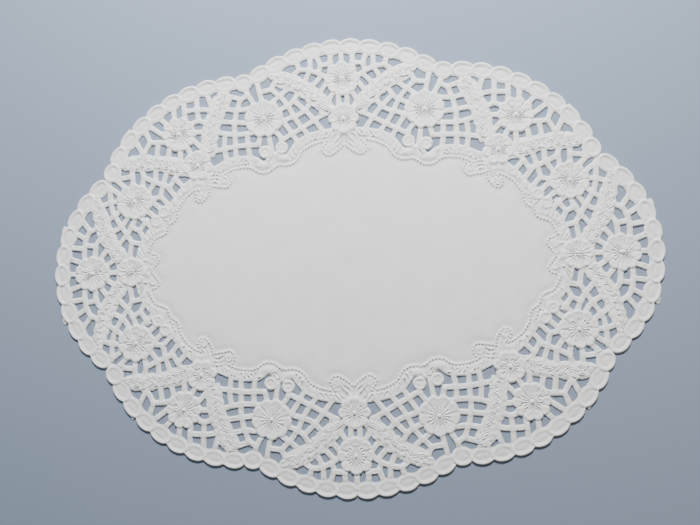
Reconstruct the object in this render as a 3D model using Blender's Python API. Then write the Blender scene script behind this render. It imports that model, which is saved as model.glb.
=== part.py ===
"""Oval paper doily, 12 by 9 inches: one flat embossed sheet with a lace border cut through it.

The doily is the same in all four quarters, so one quarter is drawn and then mirrored twice.
What is drawn are the paper shapes: the beads of the rim, the flowers, the leaf bands, the
scrolls, the plain centre and the threads between them. The gaps are what these leave open.
The underside is flat, and the embossing is raised in the points of the upper face.
"""

import math
from collections import namedtuple

import bmesh
import bpy
from mathutils import geometry
from mathutils import Vector

# Driving sizes. Every length of the design is in millimetres.
MM = 0.001
HALF_LENGTH = 152.4
HALF_WIDTH = 115.0
SHEET = 1.0

# The rim's beads. They overlap, so each oval is a little longer than the way between notches.
BEAD_WIDTH = 7.8
BEAD_OVERLAP = 1.157
BEAD_STEPS = 12
NOTCH_DEPTH = 1.95
CHORD_DIP = 0.2
COLLAR = 0.5
TAB_WIDTH = 3.4
TAB_REACH = 1.9
TAB_SHIFT = 1.9

# Threads, leaf bands and the plain centre's edge.
THREAD_WIDTH = 2.8
THREAD_OVERRUN = 1.1
THREAD_STEPS = 2
BAND_HALF_WIDTH = 4.4
BAND_NARROW = 0.92
BAND_LEAF = 3.6
BAND_STEPS = 4
BORDER_STEPS = 3

# Flowers: the radius at the notches and the two ends of a petal's round tip, as shares.
FLOWER_PETALS = 8
ROSETTE_PETALS = 6
PETAL_NOTCH = 0.93
PETAL_TIP = (0.3, 0.7)
SCROLL_CORNERS = 8

# Embossing: heights above the plain sheet, and where on each motif they stand, as shares.
RELIEF = 0.5
HOLLOW = 0.1
BEAD_RING = 0.66
BEAD_RING_POINTS = 6
PETAL_DOME = 0.68
PETAL_VALLEY = 0.6
BUTTON_RIM = 0.32
LEAF_CREST = 0.5
BORDER_MARK_STEPS = 2
BORDER_RIDGE = 2.4
BORDER_FOOT = 5.0
MARK_CLEARANCE = 0.45

# Gaps: at most this many in the whole sheet, the largest first, none shorter than MIN_GAP.
# Corners that cut off less than CORNER_AREA (square millimetres) are left out.
MAX_GAPS = 300
MIN_GAP = 4.0
CORNER_AREA = 0.5
RIM_CORNER_AREA = 0.25
WELD = 0.02

PAPER_COLOUR = (0.83, 0.83, 0.81, 1.0)
PAPER_ROUGHNESS = 0.85

# The rim is three arcs of beads, with one short bead where two arcs meet.
# The radius is that of the circle through the notches between the beads.
Lobe = namedtuple("Lobe", "centre_x centre_y radius first_angle last_angle beads")
TOP_CENTRE_Y = 26.8
TOP_RADIUS = HALF_WIDTH - TOP_CENTRE_Y - NOTCH_DEPTH + CHORD_DIP
END_CENTRE_X = 90.6
END_RADIUS = HALF_LENGTH - END_CENTRE_X - NOTCH_DEPTH + CHORD_DIP
END_BEAD_ANGLE = 9.8
LOBES = (
    Lobe(0.0, TOP_CENTRE_Y, TOP_RADIUS, 90.0, 56.2, 5),
    Lobe(55.0, 22.6, 75.2, 89.5, 27.0, 8),
    Lobe(END_CENTRE_X, 0.0, END_RADIUS, 5.5 * END_BEAD_ANGLE, -0.5 * END_BEAD_ANGLE, 6),
)
TAB_NOTCHES = (12, 18)

# Round motifs of one quarter: the flowers of the fans and nets, and the small rosettes.
Motif = namedtuple("Motif", "name x y radius petals")
MOTIFS = (
    Motif("top flower", 0.0, 94.2, 8.9, FLOWER_PETALS),
    Motif("net flower", 41.5, 76.1, 9.9, FLOWER_PETALS),
    Motif("corner flower", 85.6, 70.0, 8.8, FLOWER_PETALS),
    Motif("side flower", 109.4, 36.2, 9.3, FLOWER_PETALS),
    Motif("end flower", 132.0, 0.0, 8.9, FLOWER_PETALS),
    Motif("top rosette", 0.0, 73.5, 7.8, ROSETTE_PETALS),
    Motif("corner rosette", 76.1, 53.1, 7.4, ROSETTE_PETALS),
    Motif("end rosette", 111.3, 0.0, 7.6, ROSETTE_PETALS),
)

# Scrolls: the round heads beside the border.
Scroll = namedtuple("Scroll", "x y radius")
SCROLLS = (
    Scroll(32.9, 59.7, 3.3),
    Scroll(41.0, 58.4, 3.3),
    Scroll(92.3, 32.2, 3.2),
    Scroll(98.1, 25.6, 3.2),
)

# Leaf bands: the line that each band follows, from its rosette to the rim.
BANDS = {
    "top band": ((2.5, 75.5), (15.0, 86.0), (24.0, 92.0), (31.0, 96.5), (34.5, 100.5)),
    "corner band": ((72.5, 57.0), (69.8, 68.0), (67.0, 76.0), (64.0, 84.0), (61.0, 92.5)),
    "side band": ((78.5, 51.5), (86.0, 53.2), (92.0, 54.6), (100.0, 55.7), (118.5, 58.3)),
    "end band": ((114.0, 4.0), (121.0, 13.0), (127.0, 24.5), (128.3, 30.0), (132.5, 41.0)),
}

# The edge of the plain centre, from the upper rosette round to the end rosette.
BORDER = (
    (0.0, 69.5), (9.0, 69.2), (18.0, 67.1), (25.0, 63.2), (30.3, 57.0), (33.5, 58.5),
    (39.5, 57.5), (41.6, 54.5), (47.0, 57.3), (58.0, 57.2), (67.5, 53.0), (76.0, 50.0),
    (84.0, 44.4), (91.0, 35.0), (97.0, 28.3), (101.8, 22.5), (104.5, 18.8), (108.2, 12.0),
    (109.3, 7.0), (111.0, 0.0),
)

# Threads: each runs from its start through its middle, if it has one, to its end.
Thread = namedtuple("Thread", "start middle end")
TOP_FAN = (
    Thread((2.2, 78.0), None, (2.2, 87.0)),
    Thread((5.0, 87.5), None, (7.2, 83.8)),
    Thread((8.0, 92.0), None, (11.0, 88.0)),
    Thread((11.5, 96.0), None, (14.8, 91.3)),
    Thread((7.5, 94.8), (14.5, 98.3), (24.0, 99.9)),
    Thread((22.8, 104.5), (23.0, 100.0), (24.3, 97.0)),
    Thread((16.6, 107.5), None, (16.5, 99.3)),
    Thread((17.0, 98.8), None, (19.0, 94.0)),
    Thread((13.0, 107.0), (11.1, 101.4), (12.2, 97.3)),
    Thread((5.2, 102.2), None, (11.0, 101.5)),
    Thread((5.4, 108.0), None, (6.0, 101.5)),
    Thread((0.0, 102.0), None, (0.0, 108.0)),
)
NET_LEFT = (
    Thread((11.0, 76.5), (20.0, 71.0), (32.5, 63.8)),
    Thread((16.6, 82.5), (21.0, 77.5), (33.0, 73.3)),
    Thread((23.5, 87.8), (27.2, 82.7), (34.0, 79.0)),
    Thread((28.5, 90.3), (31.3, 87.8), (36.5, 84.0)),
    Thread((34.8, 94.5), (37.0, 90.9), (42.3, 89.9)),
    Thread((44.3, 97.0), (43.4, 91.5), (41.8, 85.0)),
    Thread((10.8, 67.5), (17.2, 76.0), (25.0, 84.0)),
    Thread((18.2, 65.5), (24.2, 73.6), (28.3, 81.8)),
    Thread((28.3, 81.8), (31.5, 85.8), (36.0, 90.2)),
    Thread((24.0, 62.3), (28.0, 69.0), (31.5, 74.0)),
    Thread((31.5, 64.0), None, (35.8, 69.5)),
    Thread((38.9, 67.5), None, (37.3, 58.0)),
    Thread((43.0, 67.5), (44.3, 63.0), (44.5, 60.0)),
)
NET_RIGHT = (
    Thread((50.3, 93.0), (48.6, 88.3), (46.0, 83.8)),
    Thread((53.0, 86.8), None, (60.0, 88.7)),
    Thread((50.3, 91.5), (54.5, 82.3), (56.5, 73.0)),
    Thread((56.5, 73.0), (56.2, 65.0), (56.0, 55.5)),
    Thread((49.7, 68.0), (49.7, 62.5), (48.6, 55.5)),
    Thread((61.3, 68.5), (61.9, 62.0), (60.9, 54.5)),
    Thread((49.0, 81.4), (55.0, 80.9), (62.5, 82.4)),
    Thread((50.0, 74.1), (56.0, 74.6), (64.5, 75.7)),
    Thread((46.5, 68.8), (56.0, 68.2), (67.0, 70.3)),
    Thread((44.6, 62.3), (56.0, 62.0), (69.5, 59.8)),
)
CORNER_FAN = (
    Thread((70.9, 92.0), None, (68.0, 83.0)),
    Thread((75.9, 91.5), (75.8, 84.0), (75.2, 76.5)),
    Thread((67.0, 81.5), (74.0, 82.5), (82.5, 82.0)),
    Thread((82.8, 88.5), (82.6, 82.0), (82.0, 76.0)),
    Thread((88.4, 85.5), None, (87.7, 77.0)),
    Thread((97.0, 80.4), None, (91.3, 74.8)),
    Thread((102.6, 76.0), None, (92.2, 68.8)),
    Thread((104.0, 74.0), None, (100.8, 66.5)),
    Thread((92.0, 65.8), (96.0, 66.4), (101.0, 66.4)),
    Thread((100.8, 66.8), None, (104.6, 60.0)),
    Thread((109.0, 68.5), None, (104.8, 60.5)),
    Thread((96.6, 66.3), None, (97.5, 58.8)),
    Thread((90.6, 63.8), None, (91.6, 58.0)),
    Thread((85.1, 63.0), None, (85.1, 56.0)),
    Thread((82.3, 64.5), None, (79.5, 59.0)),
    Thread((79.3, 68.0), None, (73.3, 61.5)),
    Thread((71.5, 70.8), None, (79.0, 70.5)),
    Thread((70.0, 74.8), (75.2, 76.9), (80.0, 75.0)),
)
NET_SIDE = (
    Thread((83.5, 42.2), None, (88.2, 47.1)),
    Thread((86.2, 50.3), (88.5, 46.3), (91.0, 42.5)),
    Thread((87.5, 37.2), None, (92.3, 42.9)),
    Thread((92.0, 51.7), (94.2, 45.0), (96.0, 37.5)),
    Thread((90.2, 42.8), (97.5, 45.2), (104.8, 48.8)),
    Thread((105.8, 53.0), (104.6, 48.6), (105.7, 43.5)),
    Thread((98.1, 52.5), None, (98.4, 45.8)),
    Thread((98.3, 46.2), None, (102.6, 40.0)),
    Thread((110.6, 53.5), None, (110.3, 44.5)),
    Thread((110.4, 49.2), None, (119.5, 48.2)),
    Thread((120.2, 48.8), None, (113.8, 43.1)),
    Thread((123.2, 44.4), None, (116.5, 39.6)),
    Thread((122.9, 44.5), (121.7, 32.5), (117.0, 24.0)),
    Thread((117.0, 24.0), (114.2, 19.8), (111.5, 15.3)),
    Thread((105.5, 14.0), None, (111.5, 15.2)),
    Thread((111.3, 15.6), None, (112.7, 7.0)),
    Thread((117.0, 36.6), (121.8, 36.4), (127.0, 34.8)),
    Thread((115.8, 32.9), (119.5, 30.0), (124.0, 26.9)),
    Thread((112.5, 29.3), (116.3, 24.0), (122.0, 20.5)),
    Thread((109.0, 28.4), (112.6, 20.8), (118.8, 13.6)),
    Thread((103.0, 26.4), None, (107.4, 20.6)),
    Thread((107.4, 21.4), None, (104.8, 16.0)),
    Thread((106.8, 20.6), None, (111.8, 23.4)),
    Thread((101.0, 23.2), None, (106.5, 28.6)),
    Thread((103.5, 31.4), None, (98.0, 27.0)),
    Thread((101.0, 36.4), None, (95.3, 31.3)),
    Thread((96.0, 38.3), None, (91.2, 33.2)),
    Thread((95.4, 37.9), None, (101.5, 37.0)),
)
END_FAN = (
    Thread((139.0, 0.0), None, (146.5, 0.0)),
    Thread((125.0, 0.0), None, (118.0, 0.0)),
    Thread((118.1, 0.0), None, (118.3, 4.8)),
    Thread((119.0, 7.4), None, (126.0, 3.0)),
    Thread((124.2, 12.3), None, (128.8, 6.4)),
    Thread((127.6, 18.4), (130.3, 14.3), (131.0, 7.5)),
    Thread((130.0, 14.0), None, (136.3, 15.0)),
    Thread((136.3, 6.0), (136.6, 11.0), (136.0, 16.5)),
    Thread((136.0, 16.5), (134.5, 21.0), (129.5, 23.6)),
    Thread((135.4, 17.8), None, (142.4, 22.2)),
    Thread((136.3, 13.0), None, (144.5, 14.1)),
    Thread((138.3, 5.9), None, (146.0, 8.8)),
    Thread((133.4, 22.1), None, (138.2, 28.5)),
)
PANELS = (TOP_FAN, NET_LEFT, NET_RIGHT, CORNER_FAN, NET_SIDE, END_FAN)


def clear_scene():
    """Remove whatever the file holds already."""
    for thing in list(bpy.data.objects):
        bpy.data.objects.remove(thing, do_unlink=True)


def polar(x, y, radius, degrees):
    """A point at an angle on a circle."""
    turn = math.radians(degrees)
    return Vector((x + radius * math.cos(turn), y + radius * math.sin(turn)))


def side_normal(direction):
    """The unit vector to the left of a direction."""
    return Vector((-direction.y, direction.x)).normalized()


def smooth_line(points, steps):
    """A Catmull-Rom curve through the points, with so many steps to each stretch."""
    stops = [Vector(point) for point in points]
    before = 2 * stops[0] - stops[1]
    after = 2 * stops[-1] - stops[-2]
    stops = [before] + stops + [after]
    line = []
    for index in range(1, len(stops) - 2):
        p0, p1, p2, p3 = stops[index - 1:index + 3]
        for step in range(steps):
            t = step / steps
            bend = (p2 - p0) * t
            curve = (2 * p0 - 5 * p1 + 4 * p2 - p3) * t * t
            twist = (3 * p1 - p0 - 3 * p2 + p3) * t * t * t
            line.append((2 * p1 + bend + curve + twist) / 2)
    line.append(stops[-2])
    return line


def ribbon(line, half_widths):
    """The outline of a strip along a line, as wide on each side as given at each point."""
    left = []
    right = []
    for index, point in enumerate(line):
        ahead = line[min(index + 1, len(line) - 1)]
        behind = line[max(index - 1, 0)]
        side = side_normal(ahead - behind) * half_widths[index]
        left.append(point + side)
        right.append(point - side)
    return right + left[::-1]


def lobe_notches(lobe):
    """The notches between the beads of one arc of the rim."""
    turn = (lobe.last_angle - lobe.first_angle) / lobe.beads
    angles = [lobe.first_angle + turn * index for index in range(lobe.beads + 1)]
    return [polar(lobe.centre_x, lobe.centre_y, lobe.radius, angle) for angle in angles]


def rim_notches():
    """All notches of one quarter's rim, from the short axis to just past the long one."""
    return [notch for lobe in LOBES for notch in lobe_notches(lobe)]


def bead_frames():
    """Each bead's centre, its direction along the rim and its two half sizes."""
    notches = rim_notches()
    frames = []
    for first, last in zip(notches, notches[1:]):
        along = (last - first).normalized()
        inward = -side_normal(along)
        centre = (first + last) / 2 + inward * (BEAD_WIDTH / 2 - NOTCH_DEPTH)
        half_length = (last - first).length / 2 * BEAD_OVERLAP
        frames.append((centre, along, half_length, BEAD_WIDTH / 2))
    return frames


def bead_outline(frame):
    """The oval of one bead."""
    centre, along, half_length, half_width = frame
    across = side_normal(along)
    points = []
    for step in range(BEAD_STEPS):
        turn = 2 * math.pi * step / BEAD_STEPS
        points.append(centre + along * half_length * math.cos(turn)
                      + across * half_width * math.sin(turn))
    return points


def motif_outline(motif):
    """A flower or rosette with a shallow notch between its round petals."""
    petal = 360.0 / motif.petals
    points = []
    for index in range(motif.petals):
        start = 90.0 + petal * (index + 0.5)
        points.append(polar(motif.x, motif.y, motif.radius * PETAL_NOTCH, start))
        for share in PETAL_TIP:
            points.append(polar(motif.x, motif.y, motif.radius, start + petal * share))
    return points


def scroll_outline(scroll):
    """The round head of a scroll."""
    turn = 360.0 / SCROLL_CORNERS
    return [polar(scroll.x, scroll.y, scroll.radius, turn * index)
            for index in range(SCROLL_CORNERS)]


def band_line(points):
    """The middle of a leaf band, with a stop at every leaf."""
    line = smooth_line(points, BAND_STEPS)
    length = sum((b - a).length for a, b in zip(line, line[1:]))
    leaves = round(length / BAND_LEAF)
    stops = [line[0]]
    walked = 0.0
    for a, b in zip(line, line[1:]):
        step = (b - a).length
        while len(stops) < leaves and walked + step >= length * len(stops) / leaves:
            part = (length * len(stops) / leaves - walked) / step
            stops.append(a.lerp(b, part))
        walked += step
    stops.append(line[-1])
    return stops


def band_outline(points):
    """A leaf band, wider at the leaf tips and narrower between them."""
    line = band_line(points)
    widths = [BAND_HALF_WIDTH * (1.0 if index % 2 else BAND_NARROW)
              for index in range(len(line))]
    return ribbon(line, widths)


def thread_outline(thread):
    """A strip of the thread's width along its line, run on a little past both ends."""
    if thread.middle is None:
        line = [Vector(thread.start), Vector(thread.end)]
    else:
        line = smooth_line((thread.start, thread.middle, thread.end), THREAD_STEPS)
    line[0] = line[0] + (line[0] - line[1]).normalized() * THREAD_OVERRUN
    line[-1] = line[-1] + (line[-1] - line[-2]).normalized() * THREAD_OVERRUN
    return ribbon(line, [THREAD_WIDTH / 2] * len(line))


def centre_outline():
    """The plain centre of the sheet inside its curved border."""
    return [Vector((0.0, 0.0))] + smooth_line(BORDER, BORDER_STEPS)[::-1]


def collar_outline():
    """The strip under the beads that fills the notches on their inner side."""
    frames = bead_frames()
    line = [centre for centre, along, half_length, half_width in frames]
    line.insert(0, Vector((-line[0].x, line[0].y)))
    inner = BEAD_WIDTH / 2 + COLLAR
    inside = []
    for index, point in enumerate(line):
        ahead = line[min(index + 1, len(line) - 1)]
        behind = line[max(index - 1, 0)]
        inside.append(point - side_normal(ahead - behind) * inner)
    return inside + line[::-1]


def tab_outline(index):
    """A small torn tab of paper left beside a notch of the rim."""
    notches = rim_notches()
    along = (notches[index + 1] - notches[index]).normalized()
    outward = side_normal(along)
    root = notches[index] + along * TAB_SHIFT
    return ribbon([root - outward * TAB_REACH, root + outward * TAB_REACH], [TAB_WIDTH / 2] * 2)


def paper_shapes():
    """The outlines of all paper shapes that touch the quarter."""
    shapes = [centre_outline(), collar_outline()]
    shapes += [bead_outline(frame) for frame in bead_frames()]
    shapes += [motif_outline(motif) for motif in MOTIFS]
    shapes += [scroll_outline(scroll) for scroll in SCROLLS]
    shapes += [band_outline(points) for points in BANDS.values()]
    shapes += [thread_outline(thread) for panel in PANELS for thread in panel]
    shapes += [tab_outline(index) for index in TAB_NOTCHES]
    return shapes


def flat_map(loops, extra_points=()):
    """Lay the closed loops over each other and triangulate everything that they span."""
    points = []
    faces = []
    for loop in loops:
        faces.append(list(range(len(points), len(points) + len(loop))))
        points += loop
    points += extra_points
    result = geometry.delaunay_2d_cdt(points, [], faces, 0, WELD)
    return result[0], result[2], result[5]


def region_loops(faces):
    """The boundary loops of a set of faces, each a list of vertex numbers."""
    edges = {edge: None for face in faces for edge in zip(face, face[1:] + face[:1])}
    after = {}
    for a, b in edges:
        if (b, a) not in edges:
            after.setdefault(a, []).append(b)
    loops = []
    while after:
        start = next(iter(after))
        loop = [start]
        while True:
            choices = after[loop[-1]]
            following = choices.pop()
            if not choices:
                del after[loop[-1]]
            if following == start:
                break
            loop.append(following)
        loops.append(loop)
    return loops


def connected(faces):
    """Split faces into groups that share edges."""
    owner = {}
    for index, face in enumerate(faces):
        for a, b in zip(face, face[1:] + face[:1]):
            owner[(a, b)] = index
    groups = []
    seen = set()
    for index in range(len(faces)):
        if index in seen:
            continue
        seen.add(index)
        group = []
        stack = [index]
        while stack:
            current = stack.pop()
            face = faces[current]
            group.append(face)
            for a, b in zip(face, face[1:] + face[:1]):
                other = owner.get((b, a))
                if other is not None and other not in seen:
                    seen.add(other)
                    stack.append(other)
        groups.append(group)
    return groups


def loop_area(points):
    """The signed area of a loop, positive when it runs counter-clockwise."""
    return sum(a.x * b.y - b.x * a.y for a, b in zip(points, points[1:] + points[:1])) / 2


def loop_length(points):
    """The longest distance between two points of a loop."""
    return max((a - b).length for a in points for b in points)


def on_axis(point):
    """Whether a point lies on one of the two mirror axes."""
    return min(abs(point.x), abs(point.y)) < WELD


def simplified(points, least_area):
    """Drop the corners that cut off less than an area, such as slight bends and thin tails."""
    points = list(points)
    while len(points) > 3:
        corners = []
        for index, point in enumerate(points):
            before = points[index - 1]
            after = points[(index + 1) % len(points)]
            area = abs(loop_area([before, point, after]))
            held = on_axis(point) and area > WELD * WELD
            corners.append((math.inf if held else area, index))
        area, index = min(corners)
        if area > least_area:
            break
        points.pop(index)
    return points


def quarter_plan():
    """The outer edge of one quarter, and all its gaps, cut off at the two axes."""
    reach = HALF_LENGTH + HALF_WIDTH
    square = [Vector(corner) for corner in ((0, 0), (reach, 0), (reach, reach), (0, reach))]
    points, faces, sources = flat_map([square] + paper_shapes())
    quarter = [(face, source) for face, source in zip(faces, sources) if 0 in source]
    solid = [face for face, source in quarter if len(source) > 1]
    gaps = []
    for group in connected([face for face, source in quarter if len(source) == 1]):
        outline = [points[index] for index in max(region_loops(group), key=len)]
        if max(point.length for point in outline) < reach - WELD:
            gaps.append(outline)
            solid += group
    loops = [[points[index] for index in loop] for loop in region_loops(solid)]
    return max(loops, key=loop_area), gaps


def whole_gaps(gaps):
    """The largest gaps, tidied, as many as the whole sheet may have."""
    sized = []
    for gap in [simplified(gap, CORNER_AREA) for gap in gaps]:
        copies = 2 if any(on_axis(point) for point in gap) else 4
        if loop_length(gap) * 4 / copies > MIN_GAP:
            sized.append((loop_area(gap) * 4 / copies, copies, gap))
    sized.sort(key=lambda entry: -entry[0])
    kept = []
    total = 0
    for area, copies, gap in sized:
        if total + copies <= MAX_GAPS:
            kept.append(gap)
            total += copies
    return kept


def bead_marks():
    """A raised oval ring and a dished middle on every bead."""
    marks = []
    for centre, along, half_length, half_width in bead_frames():
        across = side_normal(along)
        marks.append((centre, HOLLOW))
        for step in range(BEAD_RING_POINTS):
            turn = 2 * math.pi * step / BEAD_RING_POINTS
            offset = along * half_length * math.cos(turn) + across * half_width * math.sin(turn)
            marks.append((centre + offset * BEAD_RING, RELIEF))
    return marks


def motif_marks():
    """A button in the middle of every flower, and a dome on each petal around it."""
    marks = []
    for motif in MOTIFS:
        petal = 360.0 / motif.petals
        rings = [(PETAL_DOME, 0.0, RELIEF), (PETAL_VALLEY, petal / 2, HOLLOW)]
        if motif.petals == FLOWER_PETALS:
            rings.append((BUTTON_RIM, 0.0, HOLLOW))
        marks.append((Vector((motif.x, motif.y)), RELIEF))
        for share, shift, height in rings:
            for index in range(motif.petals):
                angle = 90.0 + petal * index + shift
                marks.append((polar(motif.x, motif.y, motif.radius * share, angle), height))
    return marks


def band_marks():
    """Two rows of raised leaves along every band, with a low vein between them."""
    marks = []
    for points in BANDS.values():
        line = band_line(points)
        for before, point, after in zip(line, line[1:], line[2:]):
            side = side_normal(after - before) * BAND_HALF_WIDTH * LEAF_CREST
            marks.append((point, HOLLOW))
            marks.append((point + side, RELIEF))
            marks.append((point - side, RELIEF))
    return marks


def border_marks():
    """A ridge just inside the edge of the plain centre, and its foot further in."""
    marks = []
    line = smooth_line(BORDER, BORDER_MARK_STEPS)
    for before, point, after in zip(line, line[1:], line[2:]):
        inward = side_normal(before - after)
        marks.append((point + inward * BORDER_RIDGE, RELIEF))
        marks.append((point + inward * BORDER_FOOT, 0.0))
    return marks


def line_distance(point, a, b):
    """The distance from a point to a straight stretch."""
    stretch = b - a
    if stretch.length < 1e-9:
        return (point - a).length
    part = max(0.0, min(1.0, (point - a).dot(stretch) / stretch.length_squared))
    return (point - a - stretch * part).length


def clear_marks(marks, loops):
    """The marks of this quarter that keep clear of every cut edge and of each other."""
    cuts = [(a, b) for loop in loops for a, b in zip(loop, loop[1:] + loop[:1])
            if not (on_axis(a) and on_axis(b))]
    kept = []
    for point, height in marks:
        if min(point.x, point.y) < -WELD:
            continue
        if min(line_distance(point, a, b) for a, b in cuts) < MARK_CLEARANCE:
            continue
        if all((point - other).length > 2 * MARK_CLEARANCE for other, rise in kept):
            kept.append((point, height))
    return kept


def snapped(value):
    """A coordinate that lies on a mirror axis, set to exactly nought."""
    return 0.0 if abs(value) < WELD else value


def upper_face(mesh, loops, marks):
    """Add the quarter's upper face, raised at the marks."""
    points, faces, sources = flat_map(loops, [point for point, height in marks])
    paper = [face for face, source in zip(faces, sources) if source == [0]]
    corners = {}
    for index in sorted({index for face in paper for index in face}):
        point = points[index]
        rise = sum(height for mark, height in marks if (mark - point).length < WELD)
        place = Vector((snapped(point.x), snapped(point.y), SHEET + rise))
        corners[index] = mesh.verts.new(place * MM)
    for face in paper:
        ring = [corners[index] for index in face]
        if any(vert.co.x for vert in ring) and any(vert.co.y for vert in ring):
            mesh.faces.new(ring)


def draw_down(mesh):
    """Walls from every cut edge down to a flat underside, which closes the sheet."""
    cut_edges = [edge for edge in mesh.edges if edge.is_boundary]
    walls = bmesh.ops.extrude_edge_only(mesh, edges=cut_edges)["geom"]
    base = {item for item in walls if isinstance(item, bmesh.types.BMVert)}
    for vert in base:
        vert.co.z = 0.0
    base_edges = [item for item in walls if isinstance(item, bmesh.types.BMEdge)
                  and base.issuperset(item.verts)]
    bmesh.ops.triangle_fill(mesh, use_beauty=True, use_dissolve=False, edges=base_edges)
    bmesh.ops.recalc_face_normals(mesh, faces=mesh.faces[:])


def sheet_mesh():
    """The whole sheet: the quarter's upper face, mirrored twice and drawn down to the base."""
    outline, gaps = quarter_plan()
    loops = [simplified(outline, RIM_CORNER_AREA)] + whole_gaps(gaps)
    marks = clear_marks(bead_marks() + motif_marks() + band_marks() + border_marks(), loops)
    mesh = bmesh.new()
    upper_face(mesh, loops, marks)
    for axis in "XY":
        quarter = mesh.verts[:] + mesh.edges[:] + mesh.faces[:]
        bmesh.ops.mirror(mesh, geom=quarter, axis=axis, merge_dist=0.0)
        bmesh.ops.remove_doubles(mesh, verts=mesh.verts[:], dist=WELD * MM / 2)
    draw_down(mesh)
    return mesh


def paper_material():
    """Matt white paper."""
    material = bpy.data.materials.new("white paper")
    material.use_nodes = True
    shader = material.node_tree.nodes["Principled BSDF"]
    shader.inputs["Base Color"].default_value = PAPER_COLOUR
    shader.inputs["Roughness"].default_value = PAPER_ROUGHNESS
    shader.inputs["Metallic"].default_value = 0.0
    return material


def main():
    """Model the doily."""
    clear_scene()
    shape = sheet_mesh()
    mesh = bpy.data.meshes.new("doily")
    shape.to_mesh(mesh)
    shape.free()
    mesh.materials.append(paper_material())
    doily = bpy.data.objects.new("doily", mesh)
    bpy.context.scene.collection.objects.link(doily)


if __name__ == "__main__":
    main()
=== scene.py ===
"""An oval paper doily, 12 by 9 inches, embossed and cut as lace, lying on a pale floor.

The doily is the same in all four quarters. One quarter of its lace is laid out from the tables
below, pressed at the points where the paper is embossed, and mirrored twice. A slight unevenness
that is not mirrored comes last. Every length of the design is in millimetres.
"""

import math
from collections import namedtuple

import bmesh
import bpy
from mathutils import Matrix
from mathutils import Vector
from mathutils import geometry
from mathutils import noise


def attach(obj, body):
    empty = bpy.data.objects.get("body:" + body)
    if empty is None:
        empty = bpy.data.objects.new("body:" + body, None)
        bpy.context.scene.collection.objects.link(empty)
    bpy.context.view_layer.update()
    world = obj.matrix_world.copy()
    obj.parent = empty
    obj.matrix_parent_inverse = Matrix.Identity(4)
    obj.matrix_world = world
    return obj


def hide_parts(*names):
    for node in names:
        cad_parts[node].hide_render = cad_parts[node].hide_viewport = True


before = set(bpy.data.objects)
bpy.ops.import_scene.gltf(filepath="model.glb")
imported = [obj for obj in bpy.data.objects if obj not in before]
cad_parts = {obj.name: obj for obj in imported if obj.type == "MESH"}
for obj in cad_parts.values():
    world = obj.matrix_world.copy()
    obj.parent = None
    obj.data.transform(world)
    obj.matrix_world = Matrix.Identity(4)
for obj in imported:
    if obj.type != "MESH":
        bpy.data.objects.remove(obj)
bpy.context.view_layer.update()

MM = 0.001

# The sheet's half sizes, the thickness of its paper, usual and least, and its flat size in metres.
HALF_LENGTH = 152.4
HALF_WIDTH = 115.0
PAPER = 0.26
THINNEST = 0.08

# The rim's beads. They overlap, so each oval is a little longer than the way between notches.
BEAD_WIDTH = 7.8
BEAD_OVERLAP = 1.157
BEAD_STEPS = 36
NOTCH_DEPTH = 1.95
CHORD_DIP = 0.2
INNER_REACH = 0.7
COLLAR = -0.4
SHORT_BEAD = 9.6
SHORT_HALF_LENGTH = 5.2
SHORT_HALF_WIDTH = 4.25
SHORT_DROP = 0.75
SHORT_SHIFT = -0.5
TAB_WIDTH = 3.4
TAB_SHIFT = 1.9

# Threads, and how finely curves are drawn.
THREAD_WIDTH = 2.8
THREAD_OVERRUN = 1.1
THREAD_STEPS = 6
THREAD_STEP = 0.65
BORDER_STEPS = 12
PETAL_STEPS = 10
SCROLL_TURN = 15

# How finely edges and rows are stepped, and how near to each other pressed points may lie.
EDGE_STEP = 1.1
EDGE_TURN = 0.22
FINE_STEP = 0.3
CORNER_PASSES = 1
ROW_STEP = 0.9
ROOM = 0.42
CELL = 1.0
LEAST_GAP = 1.2
AXIS_ROOM = 0.22
WELD = 0.02
LACE_PITCH = 1.3
LACE_ROOM = LACE_PITCH * 0.6
PLAIN_PITCH = 3.4
PLAIN_ROOM = PLAIN_PITCH * 0.3
BACK_PITCH = 5.0
BACK_ROOM = 0.9
LATTICE_RISE = 0.866

# How high the cut edges are pressed, and how many millimetres a rise of one stands for.
EDGE_RISE = 0.0
PRESS_DEPTH = 1.9

# The rim is three arcs of beads, with one short bead where two arcs meet.
# The radius is that of the circle through the notches between the beads.
Lobe = namedtuple("Lobe", "centre_x centre_y radius first_angle last_angle beads")
TOP_CENTRE_Y = 26.8
TOP_RADIUS = HALF_WIDTH - TOP_CENTRE_Y - NOTCH_DEPTH + CHORD_DIP
END_CENTRE_X = 90.6
END_RADIUS = HALF_LENGTH - END_CENTRE_X - NOTCH_DEPTH + CHORD_DIP
END_BEAD_ANGLE = 9.8
LOBES = (
    Lobe(0.0, TOP_CENTRE_Y, TOP_RADIUS, 90.0, 56.2, 5),
    Lobe(55.0, 22.6, 75.2, 89.5, 27.0, 8),
    Lobe(END_CENTRE_X, 0.0, END_RADIUS, 5.5 * END_BEAD_ANGLE, -0.5 * END_BEAD_ANGLE, 6),
)

# The small torn tabs of paper beside two notches: the notch's number, and how far it stands out.
TABS = ((12, 1.8), (18, 2.4))

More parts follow.
